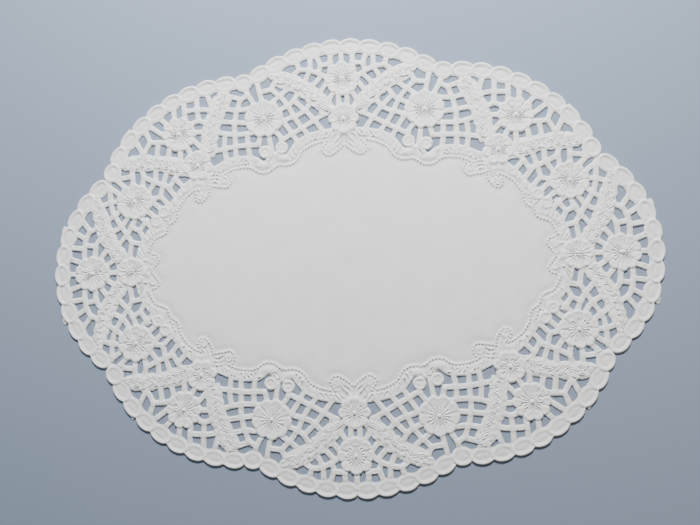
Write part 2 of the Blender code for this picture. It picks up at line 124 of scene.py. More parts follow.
# Round motifs of one quarter: the flowers of the fans and nets, and the small rosettes.
# Petal is the radius of one petal's round end, and grooves run from the button to the petals.
Motif = namedtuple("Motif", "name x y radius petals petal first_angle grooves groove_end")
MOTIFS = (
    Motif("top flower", 0.0, 94.2, 9.3, 8, 3.4, 90.0, 18, 5.4),
    Motif("net flower", 41.0, 75.9, 10.2, 9, 3.5, 90.0, 18, 5.8),
    Motif("corner flower", 85.5, 70.1, 9.4, 10, 2.9, 250.0, 18, 5.2),
    Motif("side flower", 109.6, 36.3, 9.7, 10, 2.9, 53.0, 18, 5.4),
    Motif("end flower", 132.2, 0.0, 9.4, 10, 2.8, 90.0, 18, 5.2),
    Motif("top rosette", 0.0, 73.5, 8.1, 8, 2.8, 90.0, 16, 4.2),
    Motif("corner rosette", 76.1, 53.3, 8.0, 7, 3.1, 88.0, 16, 4.2),
    Motif("end rosette", 111.3, 0.0, 7.8, 8, 2.6, 90.0, 16, 4.2),
)

# Scrolls: the round heads beside the border.
Scroll = namedtuple("Scroll", "x y radius")
SCROLLS = (
    Scroll(32.3, 60.1, 3.4),
    Scroll(41.0, 58.5, 3.4),
    Scroll(94.2, 30.3, 3.3),
    Scroll(98.1, 25.6, 3.2),
)

# Leaf bands run from a rosette to the rim: how far the small leaves lean, how long they are, and
# the places of the band's middle, with half its width there.
Band = namedtuple("Band", "name lean leaflet stops")
BANDS = (
    Band("corner band", 42.0, 6.6,
         ((71.4, 58.0, 4.2), (70.2, 63.0, 4.4), (69.6, 67.0, 4.5), (68.6, 72.0, 4.5),
          (66.9, 77.0, 4.7), (65.5, 80.5, 4.5), (63.8, 84.3, 5.1), (62.3, 87.0, 4.8),
          (61.7, 90.0, 3.4), (61.6, 92.5, 2.6))),
    Band("side band", 30.0, 7.4,
         ((79.0, 51.0, 3.6), (82.5, 51.8, 4.0), (86.5, 52.9, 4.3), (90.0, 54.1, 4.8),
          (95.0, 55.1, 4.3), (100.0, 55.6, 4.2), (104.0, 56.1, 4.6), (108.0, 55.9, 4.5),
          (112.0, 56.0, 4.0), (116.0, 56.0, 2.8), (117.5, 56.0, 2.0))),
    Band("end band", 42.0, 6.2,
         ((115.5, 5.0, 4.0), (118.3, 9.0, 4.2), (121.2, 12.9, 4.2), (125.0, 20.0, 4.5),
          (127.0, 26.0, 4.2), (128.0, 30.0, 4.1), (129.4, 34.5, 3.6), (131.5, 39.0, 3.0))),
    Band("top band", 20.0, 8.4,
         ((7.0, 77.3, 3.6), (10.4, 81.5, 4.1), (14.1, 85.3, 4.3), (17.9, 88.5, 4.1),
          (22.0, 91.4, 4.0), (27.3, 94.0, 4.3), (31.7, 95.8, 4.1), (35.4, 97.3, 2.2),
          (38.2, 98.4, 0.9))),
)
LEAFLET_PITCH = 3.2
LEAFLET_BASE = -0.9
LEAN_SWAY = 5.0
LEAN_TURN = 2.1
LEAFLET_HALF_WIDTH = 1.65
LEAFLET_ROOM = 0.34
LEAFLET_MARGIN = 0.5
BAND_SHOULDER = 0.2
LEAF_TIP_DROP = 0.35
LEAF_TIP_WIDTH = 0.01
LEAF_NARROW = 0.4
LOBE_LENGTH = 4.4
LOBE_DEPTH = 0.3

# The top band also has round buds, small leaves beside them, and long feathers at its end.
# Two lens-shaped leaves lie in the border.
Leaf = namedtuple("Leaf", "base tip half_width")
Bud = namedtuple("Bud", "x y radius")
BUDS = (
    Bud(7.2, 81.4, 1.9), Bud(9.9, 84.8, 2.0), Bud(13.0, 87.7, 2.2), Bud(16.8, 90.7, 2.5),
    Bud(9.6, 77.7, 3.0), Bud(17.0, 84.0, 2.2),
)
LENSES = (
    Leaf((29.8, 53.9), (34.6, 55.9), 1.0), Leaf((38.8, 51.0), (44.2, 52.9), 1.2),
)
TOP_LEAVES = (
    Leaf((10.0, 81.3), (16.3, 80.9), 1.8), Leaf((15.4, 85.9), (22.2, 85.9), 1.6),
    Leaf((18.8, 89.4), (25.6, 88.7), 1.7), Leaf((29.0, 97.2), (38.2, 98.6), 1.8),
    Leaf((24.0, 95.2), (33.0, 99.9), 1.9), Leaf((18.8, 92.4), (29.2, 98.7), 2.0),
    Leaf((23.0, 92.6), (37.4, 97.0), 1.9), Leaf((22.6, 91.2), (35.6, 94.6), 1.7),
    Leaf((20.8, 90.0), (34.6, 92.8), 1.7),
)

# The edge of the plain centre, from the upper rosette round to the end rosette.
BORDER = (
    (0.0, 69.2), (9.0, 68.6), (18.0, 66.9), (25.0, 63.1), (30.3, 56.8), (33.5, 58.5),
    (39.5, 57.3), (41.6, 53.8), (47.0, 56.8), (58.0, 56.7), (67.5, 52.7), (76.0, 49.3),
    (83.8, 43.9), (91.0, 35.0), (97.0, 28.3), (101.8, 22.5), (104.5, 18.8), (108.2, 12.0),
    (109.3, 7.0), (111.0, 0.0),
)

# Threads of each panel: the start, the middle where a thread is curved, and the end.
TOP_FAN = (
    ((2.2, 78.0), (2.2, 87.0)), ((4.6, 87.2), (6.9, 83.3)), ((4.2, 88.4), (4.2, 86.8)),
    ((8.0, 92.0), (11.0, 88.0)), ((11.6, 94.9), (15.2, 91.0)),
    ((7.5, 94.8), (13.2, 98.0), (18.0, 99.7)), ((18.0, 99.7), (21.6, 99.8), (25.5, 97.2)),
    ((23.3, 104.5), (22.0, 100.5)), ((16.2, 107.5), (16.2, 99.3)), ((16.7, 98.6), (19.0, 93.8)),
    ((13.0, 107.0), (11.1, 101.4), (12.2, 97.3)), ((5.2, 102.2), (11.0, 101.5)),
    ((5.4, 108.0), (6.0, 101.5)), ((0.0, 102.0), (0.0, 108.0)),
)
NET_LEFT = (
    ((10.4, 75.9), (19.7, 70.6), (32.5, 63.6)), ((16.6, 82.5), (21.0, 77.5), (33.0, 73.3)),
    ((23.0, 87.6), (26.8, 82.5), (34.0, 79.0)), ((28.5, 90.3), (31.3, 87.8), (36.5, 84.0)),
    ((34.8, 94.5), (37.0, 90.9), (42.3, 89.9)), ((44.3, 97.0), (43.4, 91.5), (41.8, 85.0)),
    ((10.8, 67.5), (17.2, 76.0), (25.0, 84.0)), ((18.2, 65.5), (24.2, 73.6), (28.3, 81.8)),
    ((28.3, 81.8), (31.5, 85.8), (36.0, 90.2)), ((24.0, 62.3), (28.0, 69.0), (31.5, 74.0)),
    ((31.5, 64.0), (35.8, 69.5)), ((38.9, 67.5), (37.3, 58.0)), ((43.0, 67.5), (44.2, 62.4)),
)
NET_RIGHT = (
    ((50.2, 93.0), (49.0, 88.8), (46.0, 83.8)), ((53.0, 86.8), (60.0, 88.7)),
    ((49.6, 88.4), (53.0, 85.7), (54.6, 81.0)), ((54.4, 81.8), (55.7, 77.5), (56.4, 72.5)),
    ((56.5, 73.0), (56.2, 65.0), (56.0, 55.5)), ((49.7, 68.0), (49.7, 62.5), (48.6, 55.5)),
    ((61.3, 68.5), (61.9, 62.0), (60.9, 54.5)), ((49.0, 81.4), (55.0, 80.9), (62.5, 82.4)),
    ((50.0, 74.1), (56.0, 74.6), (64.5, 75.7)), ((46.5, 68.8), (56.0, 68.2), (67.0, 70.3)),
    ((44.6, 62.3), (56.0, 62.0), (69.5, 59.8)),
)
CORNER_FAN = (
    ((70.9, 92.0), (68.0, 83.0)), ((75.9, 91.5), (75.8, 84.0), (75.2, 76.5)),
    ((67.0, 81.5), (74.0, 82.5), (82.5, 82.0)), ((82.8, 88.5), (82.6, 82.0), (82.0, 76.0)),
    ((88.4, 85.5), (87.7, 77.0)), ((97.0, 80.4), (91.3, 74.8)), ((102.6, 76.0), (92.2, 68.8)),
    ((104.0, 74.0), (100.8, 66.5)), ((92.0, 65.8), (96.0, 66.4), (101.0, 66.4)),
    ((100.8, 66.8), (104.6, 60.0)), ((109.0, 68.5), (104.8, 60.5)), ((96.6, 66.3), (97.5, 58.8)),
    ((90.6, 63.8), (91.6, 58.0)), ((85.1, 63.0), (85.1, 56.0)), ((82.3, 64.5), (79.5, 59.0)),
    ((79.3, 68.0), (73.3, 61.5)), ((71.5, 70.8), (79.0, 70.5)),
    ((70.0, 74.6), (75.1, 76.5), (80.0, 74.6)),
)
NET_SIDE = (
    ((83.5, 42.2), (88.2, 47.1)), ((86.2, 50.3), (88.5, 46.3), (91.0, 42.5)),
    ((87.5, 37.2), (92.3, 42.9)), ((92.0, 51.7), (94.2, 45.0), (96.0, 37.5)),
    ((90.2, 42.8), (97.5, 45.2), (104.8, 48.8)), ((105.8, 53.0), (104.6, 48.6), (105.7, 43.5)),
    ((98.1, 52.5), (98.4, 45.8)), ((98.3, 46.2), (102.6, 40.0)), ((110.6, 53.5), (110.3, 44.5)),
    ((110.4, 49.2), (119.5, 48.2)), ((120.2, 48.8), (113.8, 43.1)), ((123.2, 44.4), (116.5, 39.6)),
    ((122.7, 44.5), (121.5, 32.5), (117.2, 24.4)), ((117.0, 24.0), (114.2, 19.8), (111.5, 15.3)),
    ((105.5, 14.0), (111.5, 15.2)), ((111.3, 15.6), (112.7, 7.0)),
    ((117.0, 36.6), (121.8, 36.4), (127.0, 34.8)), ((115.8, 32.9), (119.5, 30.0), (124.0, 26.9)),
    ((112.5, 29.3), (116.3, 24.0), (122.0, 20.5)), ((109.0, 28.4), (112.6, 20.8), (118.8, 13.6)),
    ((103.0, 26.4), (107.4, 20.6)), ((107.4, 21.4), (104.8, 16.0)), ((106.8, 20.6), (111.8, 23.4)),
    ((101.3, 22.9), (106.8, 28.3)), ((103.5, 31.4), (98.0, 27.0)), ((101.0, 36.4), (95.3, 31.3)),
    ((96.0, 38.3), (91.2, 33.2)), ((95.4, 37.9), (101.5, 37.0)),
)
END_FAN = (
    ((139.0, 0.0), (146.5, 0.0)), ((125.0, 0.0), (118.0, 0.0)), ((118.1, 0.0), (118.3, 4.8)),
    ((119.0, 7.4), (126.0, 3.0)), ((124.2, 12.3), (128.8, 6.4)),
    ((127.6, 18.4), (130.3, 14.3), (131.0, 7.5)), ((130.0, 14.0), (136.3, 15.0)),
    ((136.3, 6.0), (136.6, 11.0), (136.0, 16.5)), ((136.0, 16.5), (134.0, 20.9), (129.5, 23.6)),
    ((135.4, 17.8), (142.4, 22.2)), ((136.3, 13.0), (144.5, 14.1)), ((138.3, 5.9), (146.0, 8.8)),
    ((133.4, 22.1), (138.2, 28.5)),
)
PANELS = (TOP_FAN, NET_LEFT, NET_RIGHT, CORNER_FAN, NET_SIDE, END_FAN)

# The lines just inside the border: a step down, and a row of pearls next to it on the inside.
Edging = namedtuple("Edging", "name stops")
STEPS = (
    Edging("top step",
           ((7.0, 64.2), (9.5, 64.0), (13.0, 63.6), (16.5, 62.8), (20.0, 61.0), (22.3, 59.2),
            (23.8, 57.2), (25.3, 55.0), (27.2, 53.7), (29.2, 52.9), (31.5, 52.8), (34.0, 53.6))),
    Edging("middle step",
           ((37.5, 53.0), (38.2, 50.8), (40.8, 49.6), (43.2, 49.6), (46.0, 51.0), (48.5, 52.3),
            (51.0, 52.6), (57.5, 52.0), (60.5, 51.1), (64.5, 48.8))),
    Edging("side step",
           ((74.0, 43.2), (77.0, 42.8), (80.0, 41.1), (82.0, 39.6), (84.2, 38.0), (86.0, 36.2),
            (87.4, 34.0), (88.3, 30.6))),
    Edging("end step",
           ((94.1, 20.7), (97.6, 19.2), (101.0, 17.0), (103.2, 15.1), (104.0, 12.0),
            (103.5, 8.5))),
)
PEARLS = (
    Edging("top pearls",
           ((11.7, 62.3), (14.3, 61.7), (17.2, 60.7), (19.8, 59.3), (21.6, 58.2), (22.8, 56.3),
            (24.2, 54.1), (25.8, 52.7), (28.0, 51.5), (31.2, 51.2), (33.4, 51.6), (36.2, 50.4),
            (38.8, 48.5), (41.6, 47.9), (44.5, 48.3), (47.2, 50.2), (50.5, 51.2), (55.5, 50.8),
            (60.0, 49.5), (61.8, 48.4))),
    Edging("side pearls",
           ((76.3, 41.2), (78.8, 40.2), (80.6, 38.9), (83.3, 36.8), (85.0, 34.3), (86.7, 31.4),
            (87.2, 28.0), (88.5, 25.5), (91.6, 23.6), (92.2, 21.5), (93.3, 19.2), (96.2, 17.9),
            (99.0, 16.8), (100.3, 14.8), (101.5, 12.8), (102.6, 10.3))),
    Edging("scroll pearls",
           ((89.7, 30.2), (90.3, 28.5), (90.6, 26.9), (91.5, 25.6), (92.9, 26.1), (94.5, 27.4))),
)

# The comma-shaped curls at the edge of the plain centre: pearls round the outside, from the
# tail round the head, and ridges that sweep along the tail into the head.
Curl = namedtuple("Curl", "name head pearls ridges")
CURLS = (
    Curl("top curl", (8.3, 58.7),
         ((0.9, 60.0), (2.4, 58.3), (4.0, 57.2), (5.6, 56.1), (7.2, 55.4), (8.8, 55.2),
          (10.4, 56.1), (11.3, 57.8), (10.9, 59.7), (9.7, 61.0), (8.9, 62.5)),
         (((1.5, 61.8), (3.4, 60.2), (5.2, 58.8)), ((2.6, 63.8), (4.6, 62.0), (5.8, 60.4)),
          ((4.3, 66.2), (6.3, 64.4), (7.0, 62.0)))),
    Curl("corner curl", (62.0, 44.9),
         ((59.9, 47.6), (59.1, 45.9), (58.9, 44.3), (59.6, 42.5), (61.3, 41.4), (63.2, 41.6),
          (65.0, 41.9), (66.8, 42.1), (68.4, 42.3), (70.0, 42.7)),
         (((62.8, 47.4), (65.6, 48.3), (68.6, 48.2)), ((64.6, 45.4), (67.0, 46.7), (69.6, 46.0)),
          ((65.2, 43.6), (67.2, 44.6), (69.0, 44.2)))),
    Curl("corner drop", (74.7, 37.4),
         ((70.1, 41.2), (70.3, 39.6), (70.9, 38.0), (72.2, 36.4), (73.6, 35.0), (75.2, 34.5),
          (76.8, 35.4), (77.5, 37.0), (77.2, 38.8)),
         (((72.0, 42.6), (72.6, 40.8), (73.1, 39.8)), ((73.6, 42.4), (74.6, 41.0), (75.6, 39.9)))),
    Curl("end curl", (100.2, 5.4),
         ((100.1, 8.8), (98.4, 8.4), (97.3, 6.9), (97.4, 5.1), (98.5, 3.7), (99.6, 2.3),
          (100.8, 0.7)),
         (((102.2, 7.0), (103.0, 5.6), (104.6, 5.7)), ((104.4, 5.4), (105.6, 6.4), (106.8, 7.6)),
          ((101.6, 3.2), (102.6, 2.2), (103.0, 0.9)))),
)

# Pressed rows beside a line: how far to the left, how high, and how high at every other step.
Row = namedtuple("Row", "offset rise between")
THREAD_ROWS = (
    Row(0.0, 0.12, 0.12), Row(0.78, 0.28, 0.28), Row(-0.78, 0.28, 0.28),
)
BORDER_ROWS = (
    Row(0.6, 0.30, 0.24), Row(1.3, 0.40, 0.0), Row(2.1, 0.44, -0.06), Row(2.9, 0.44, -0.08),
    Row(3.7, 0.42, -0.06), Row(4.5, 0.38, -0.04), Row(5.3, 0.32, -0.04),
)
STEP_ROWS = (
    Row(0.35, 0.26, 0.26), Row(-0.35, 0.0, 0.0),
)
SLOPE_ROWS = (
    Row(-1.5, -0.02, -0.02), Row(-2.4, 0.03, 0.03), Row(-3.4, 0.09, 0.09), Row(-4.5, 0.12, 0.12),
)
CURL_ROWS = (
    Row(0.0, 0.36, 0.20), Row(0.72, -0.04, -0.04), Row(-0.72, -0.04, -0.04),
)
CURL_HEAD = ((0.0, 0.32), (0.8, 0.08), (1.6, 0.30), (2.35, 0.0))
CURL_STEP = 0.8
CENTRE_RISE = 0.13
PEARL_PITCH = 1.7
PEARL_RINGS = ((0.0, 0.39, 1), (0.38, 0.30, 6), (0.8, -0.02, 8))
PEARL_ROOM = 0.34
ROPE_STEP = 1.3
ROPE_SLANT = 0.8
EDGING_STEP = 0.8
EDGING_STEPS = 6
SLOPE_STEP = 1.2
OUTSIDE = -1.0
FIELD_TOP = 66.5
FIELD_END = 104.5

# Each kind of unevenness is read from its own layer of noise.
MOTTLE_LAYER = 23.0
BEAD_LAYER = 2.0
WAVE_LAYER = 7.0
RIM_LAYER = 31.0
RIPPLE_LAYER = 3.0
WANDER_LAYER = 11.0
DRIFT_LAYER = 5.0
GRAIN_LAYER = 19.0

# Pressed rings inside an oval, flower or scroll: how far in from its edge, how high, and how far
# apart the points are.
Ring = namedtuple("Ring", "inset rise step")
BEAD_RINGS = (
    Ring(0.0, 0.04, 0.8), Ring(0.5, 0.36, 0.8), Ring(1.15, 0.42, 0.8), Ring(1.85, 0.12, 0.8),
    Ring(2.5, 0.02, 0.8), Ring(3.15, 0.10, 0.9),
)
FLOWER_RINGS = (
    Ring(0.0, 0.14, 0.8), Ring(0.5, 0.38, 0.7), Ring(1.1, 0.42, 0.7), Ring(1.8, 0.34, 0.7),
    Ring(2.6, 0.26, 0.8), Ring(3.4, 0.24, 0.8),
)
SCROLL_RINGS = (
    Ring(0.0, 0.18, 0.8), Ring(0.6, 0.40, 0.7), Ring(1.2, 0.38, 0.7), Ring(1.8, 0.14, 0.6),
    Ring(2.45, 0.18, 0.6), Ring(3.4, 0.42, 3.0),
)
SCROLL_WIND = 0.55
SCROLL_EYE = 2.6
BUD_RINGS = (
    Ring(0.0, 0.10, 0.7), Ring(0.5, 0.38, 0.7), Ring(1.1, 0.22, 0.7), Ring(1.7, 0.34, 0.7),
)
BEAD_LIP = 1.5
BEAD_MOTTLE = 0.1
BEAD_MOTTLE_LENGTH = 1.3
MOTTLE_LENGTH = 1.1
MOTIF_MOTTLE = 0.14
LEAF_MOTTLE = 0.16
BORDER_MOTTLE = 0.16
BEAD_CRESCENT = 0.12
BEAD_INNER_LIP = 0.28
PETAL_SHARES = (0.0, 0.13, -0.13, 0.26, -0.26, 0.38, -0.38, 0.5)
PETAL_CREASE = 0.26
BUTTON_TOP = 0.5
BUTTON_RINGS = ((0.75, 0.4, 6), (1.35, 0.04, 10))
GROOVE_ANGLE = 90.0
GROOVE_START = 1.8
GROOVE_CLEARANCE = 0.4
GROOVE_ROOM = 0.28
GROOVE_STEP = 0.58
GROOVE_FLOOR = -0.07
GROOVE_RIDGE = 0.36
LEAF_ROWS = (
    (0, 0.45), (2, 0.40), (-2, 0.40), (1, 0.17), (-1, 0.17), (3, 0.05), (-3, 0.05),
)
LEAF_PROFILE = ((0.0, 0.35), (0.12, 0.7), (0.3, 0.96), (0.5, 1.0), (0.7, 0.84), (0.87, 0.5),
                (1.0, 0.0))
CROSSING_RISE = 0.32
COLLAR_RISE = 0.1


def polar(x, y, radius, degrees):
    """A point at an angle on a circle."""
    turn = math.radians(degrees)
    return Vector((x + radius * math.cos(turn), y + radius * math.sin(turn)))


def side_normal(direction):
    """The unit vector to the left of a direction."""
    return Vector((-direction.y, direction.x)).normalized()


def layer_noise(x, y, layer, length):
    """Smooth noise between about -1 and 1, with swells of about a length."""
    return noise.noise(Vector((x, y, layer)) / length)


def smooth_line(points, steps):
    """A Catmull-Rom curve through the points, with so many steps to each stretch."""
    stops = [Vector(point) for point in points]
    before = 2 * stops[0] - stops[1]
    after = 2 * stops[-1] - stops[-2]
    stops = [before] + stops + [after]
    line = []
    for index in range(1, len(stops) - 2):
        p0, p1, p2, p3 = stops[index - 1:index + 3]
        for step in range(steps):
            t = step / steps
            bend = (p2 - p0) * t
            curve = (2 * p0 - 5 * p1 + 4 * p2 - p3) * t * t
            twist = (3 * p1 - p0 - 3 * p2 + p3) * t * t * t
            line.append((2 * p1 + bend + curve + twist) / 2)
    line.append(stops[-2])
    return line


def even_line(line, step):
    """The same line with stops as evenly spaced as fits, about a step apart."""
    length = sum((b - a).length for a, b in zip(line, line[1:]))
    count = max(1, round(length / step))
    stops = [line[0]]
    walked = 0.0
    for a, b in zip(line, line[1:]):
        stretch = (b - a).length
        while len(stops) < count and walked + stretch >= length * len(stops) / count:
            stops.append(a.lerp(b, (length * len(stops) / count - walked) / stretch))
        walked += stretch
    stops.append(line[-1])
    return stops


def line_sides(line):
    """The unit vector to the left of the line at each of its points."""
    sides = []
    for index in range(len(line)):
        ahead = line[min(index + 1, len(line) - 1)]
        behind = line[max(index - 1, 0)]
        sides.append(side_normal(ahead - behind))
    return sides


def ribbon(line, half_widths):
    """The outline of a strip along a line, as wide on each side as given at each point."""
    sides = line_sides(line)
    left = [point + side * width for point, side, width in zip(line, sides, half_widths)]
    right = [point - side * width for point, side, width in zip(line, sides, half_widths)]
    return right + left[::-1]


def rim_notches():
    """All notches of one quarter's rim, from the short axis to just past the long one."""
    notches = []
    for lobe in LOBES:
        turn = (lobe.last_angle - lobe.first_angle) / lobe.beads
        for index in range(lobe.beads + 1):
            angle = lobe.first_angle + turn * index
            notches.append(polar(lobe.centre_x, lobe.centre_y, lobe.radius, angle))
    return notches


Bead = namedtuple("Bead", "centre along outward half_length half_width")


def rim_beads():
    """The ovals of the rim, each between two notches."""
    notches = rim_notches()
    beads = []
    for first, last in zip(notches, notches[1:]):
        along = (last - first).normalized()
        outward = side_normal(along)
        centre = (first + last) / 2 - outward * (BEAD_WIDTH / 2 - NOTCH_DEPTH)
        half_length = (last - first).length / 2 * BEAD_OVERLAP
        half_width = BEAD_WIDTH / 2
        if (last - first).length < SHORT_BEAD:
            centre += along * SHORT_SHIFT - outward * SHORT_DROP
            half_length = SHORT_HALF_LENGTH
            half_width = SHORT_HALF_WIDTH
        beads.append(Bead(centre, along, outward, half_length, half_width))
    return beads


def bead_outline(bead, inset=0.0, steps=BEAD_STEPS):
    """The oval of one bead, or one that lies inside it."""
    points = []
    for step in range(steps):
        turn = 2 * math.pi * step / steps
        reach = bead.half_width - inset + (INNER_REACH if math.sin(turn) < 0.0 else 0.0)
        points.append(bead.centre + bead.along * (bead.half_length - inset) * math.cos(turn)
                      + bead.outward * reach * math.sin(turn))
    return points


def petal_turn(motif, degrees):
    """How far an angle is from the middle of its petal, in degrees."""
    petal = 360.0 / motif.petals
    return (degrees - motif.first_angle + petal / 2) % petal - petal / 2


def petal_reach(motif, degrees):
    """How far a flower reaches at an angle: its petals end in circles that overlap."""
    turn = math.radians(petal_turn(motif, degrees))
    middle = motif.radius - motif.petal
    across = middle * math.sin(turn)
    return middle * math.cos(turn) + math.sqrt(max(motif.petal ** 2 - across ** 2, 0.0))


def motif_outline(motif):
    """A flower or rosette with a notch between its round petals."""
    steps = motif.petals * PETAL_STEPS
    angles = [motif.first_angle + 360.0 * step / steps for step in range(steps)]
    return [polar(motif.x, motif.y, petal_reach(motif, angle), angle) for angle in angles]


def scroll_outline(scroll):
    """The round head of a scroll."""
    turns = range(0, 360, SCROLL_TURN)
    return [polar(scroll.x, scroll.y, scroll.radius, turn) for turn in turns]


def band_line(band, step=ROW_STEP):
    """The middle line of a band, and half the band's width at each of its points."""
    stops = even_line(smooth_line(band.stops, BORDER_STEPS), step)
    return [stop.xy for stop in stops], [stop.z for stop in stops]


def band_outline(band, inset=0.0):
    """A band's outline, in shallow lobes where its leaves end, or a line inside it."""
    line, half_widths = band_line(band)
    turn = 2 * math.pi * ROW_STEP / LOBE_LENGTH
    lobed = [half_width - inset + LOBE_DEPTH * math.sin(turn * index)
             for index, half_width in enumerate(half_widths)]
    return ribbon(line, lobed)


def band_leaflets(band):
    """The leaves of a band, by turns to the left and the right of its middle."""
    line, half_widths = band_line(band, LEAFLET_PITCH / 2)
    leaflets = []
    for index, (stop, side) in enumerate(zip(line, line_sides(line))):
        hand = 1 if index % 2 else -1
        lean = band.lean + LEAN_SWAY * math.sin(LEAN_TURN * index)
        direction = side.orthogonal() @ Matrix.Rotation(math.radians(-hand * lean), 2)
        base = stop + side * hand * LEAFLET_BASE
        leaflets.append(Leaf(base, base - direction * band.leaflet, LEAFLET_HALF_WIDTH))
    return leaflets


def laid_leaves(table):
    """The leaves of a table, with their ends as vectors."""
    return [Leaf(Vector(leaf.base), Vector(leaf.tip), leaf.half_width) for leaf in table]


def leaf_width(leaf, share):
    """The half width of a leaf, so far along it."""
    for (a, low), (b, high) in zip(LEAF_PROFILE, LEAF_PROFILE[1:]):
        if share <= b:
            return leaf.half_width * (low + (high - low) * (share - a) / (b - a))
    return 0.0


def leaf_outline(leaf):
    """A leaf with a round base and a pointed tip."""
    shares = [share for share, width in LEAF_PROFILE]
    line = [leaf.base.lerp(leaf.tip, share) for share in shares]
    return ribbon(line, [leaf_width(leaf, share) + LEAF_TIP_WIDTH for share in shares])


def thread_line(thread):
    """A thread's middle line, run on a little past both ends."""
    straight = len(thread) == 2
    line = [Vector(stop) for stop in thread] if straight else smooth_line(thread, THREAD_STEPS)
    line[0] = line[0] + (line[0] - line[1]).normalized() * THREAD_OVERRUN
    line[-1] = line[-1] + (line[-1] - line[-2]).normalized() * THREAD_OVERRUN
    return line


def thread_outline(thread):
    """A strip of the thread's width."""
    line = thread_line(thread)
    return ribbon(line, [THREAD_WIDTH / 2] * len(line))


def centre_outline():
    """The plain centre of the sheet inside its curved border."""
    return [Vector((0.0, 0.0))] + smooth_line(BORDER, BORDER_STEPS)[::-1]


def collar_outline():
    """The strip under the beads that fills the notches on their inner side."""
    line = [bead.centre for bead in rim_beads()]
    line.insert(0, Vector((-line[0].x, line[0].y)))
    inner = BEAD_WIDTH / 2 + COLLAR
    inside = [point - side * inner for point, side in zip(line, line_sides(line))]
    return inside + line[::-1]


def tab_outline(index, reach):
    """A small torn tab of paper left beside a notch of the rim."""
    notches = rim_notches()
    along = (notches[index + 1] - notches[index]).normalized()
    outward = side_normal(along)
    root = notches[index] + along * TAB_SHIFT
    return ribbon([root - outward * reach, root + outward * reach], [TAB_WIDTH / 2] * 2)


def paper_shapes():
    """The outlines of all paper shapes that touch the quarter."""
    shapes = [centre_outline(), collar_outline()]
    shapes += [bead_outline(bead) for bead in rim_beads()]
    shapes += [motif_outline(motif) for motif in MOTIFS]
    shapes += [scroll_outline(scroll) for scroll in SCROLLS + BUDS]
    shapes += [leaf_outline(leaf) for leaf in laid_leaves(TOP_LEAVES)]
    shapes += [band_outline(band) for band in BANDS]
    shapes += [thread_outline(thread) for panel in PANELS for thread in panel]
    shapes += [tab_outline(index, reach) for index, reach in TABS]
    return shapes


def flat_map(loops, extra_points=(), weld=WELD / 100):
    """Lay the closed loops over each other and triangulate everything that they span.

    Each triangle comes with the loops round it, and each point with the number that it had.
    """
    points = []
    faces = []
    for loop in loops:
        faces.append(list(range(len(points), len(points) + len(loop))))
        points += loop
    points += extra_points
    result = geometry.delaunay_2d_cdt(points, [], faces, 0, weld)
    numbers = [min(origins) if origins else None for origins in result[3]]
    return result[0], result[2], result[5], numbers


def pairs_round(items):
    """Each item with the one after it, all the way round."""
    return zip(items, items[1:] + items[:1])


def region_loops(faces):
    """The boundary loops of a set of faces, each a list of vertex numbers."""
    edges = {edge: None for face in faces for edge in pairs_round(face)}
    after = {}
    for a, b in edges:
        if (b, a) not in edges:
            after.setdefault(a, []).append(b)
    loops = []
    while after:
        start = next(iter(after))
        loop = [start]
        while True:
            choices = after[loop[-1]]
            following = choices.pop()
            if not choices:
                del after[loop[-1]]
            if following == start:
                break
            loop.append(following)
        loops.append(loop)
    return loops


def connected(faces):
    """Split faces into groups that share edges."""
    owner = {edge: index for index, face in enumerate(faces) for edge in pairs_round(face)}
    groups = []
    left = dict(enumerate(faces))
    while left:
        stack = [left.pop(next(iter(left)))]
        group = []
        while stack:
            group.append(stack.pop())
            for a, b in pairs_round(group[-1]):
                if owner.get((b, a)) in left:
                    stack.append(left.pop(owner[b, a]))
        groups.append(group)
    return groups


def loop_area(points):
    """The signed area of a loop, positive when it runs counter-clockwise."""
    return sum(a.x * b.y - b.x * a.y for a, b in pairs_round(points)) / 2


def on_axis(point):
    """Whether a point lies on one of the two mirror axes."""
    return min(abs(point.x), abs(point.y)) < WELD


def along_axis(a, b):
    """Whether two points lie on the same mirror axis."""
    return max(abs(a.x), abs(b.x)) < WELD or max(abs(a.y), abs(b.y)) < WELD


def edge_stretches(loop):
    """Split a loop where it leaves and meets the axes, so that each stretch keeps its ends."""
    stops = [index for index, point in enumerate(loop) if on_axis(point)]
    if not stops:
        return [loop + loop[:1]]
    loop = loop[stops[0]:] + loop[:stops[0]]
    stretches = []
    current = [loop[0]]
    for point in loop[1:] + loop[:1]:
        current.append(point)
        if on_axis(point):
            stretches.append(current)
            current = [point]
    return stretches


def thinned(line):
    """The line with fewer points where it runs straight."""
    kept = [line[0]]
    for point, after in zip(line[1:], line[2:]):
        gone = point - kept[-1]
        turn = gone.angle(after - point, 0.0)
        if gone.length > EDGE_STEP or turn > EDGE_TURN:
            kept.append(point)
    kept.append(line[-1])
    return kept


def eased(line, passes, closed):
    """The line with its corners rounded off a little."""
    for turn in range(passes):
        inner = [(a + 2 * b + c) / 4 for a, b, c in zip(line, line[1:], line[2:])]
        if closed:
            seam = (line[-2] + 2 * line[0] + line[1]) / 4
            line = [seam] + inner + [seam]
        else:
            line = [line[0]] + inner + [line[-1]]
    return line


def tidy_loop(loop):
    """A cut edge as the knife leaves it: even steps, with slightly rounded corners."""
    stretches = edge_stretches(loop)
    closed = len(stretches) == 1 and (stretches[0][0] - stretches[0][-1]).length < WELD
    tidy = []
    for stretch in stretches:
        if len(stretch) == 2 and along_axis(*stretch):
            tidy.append(stretch[0])
            continue
        fine = eased(even_line(stretch, FINE_STEP), CORNER_PASSES, closed)
        tidy += thinned(fine)[:-1]
    return tidy


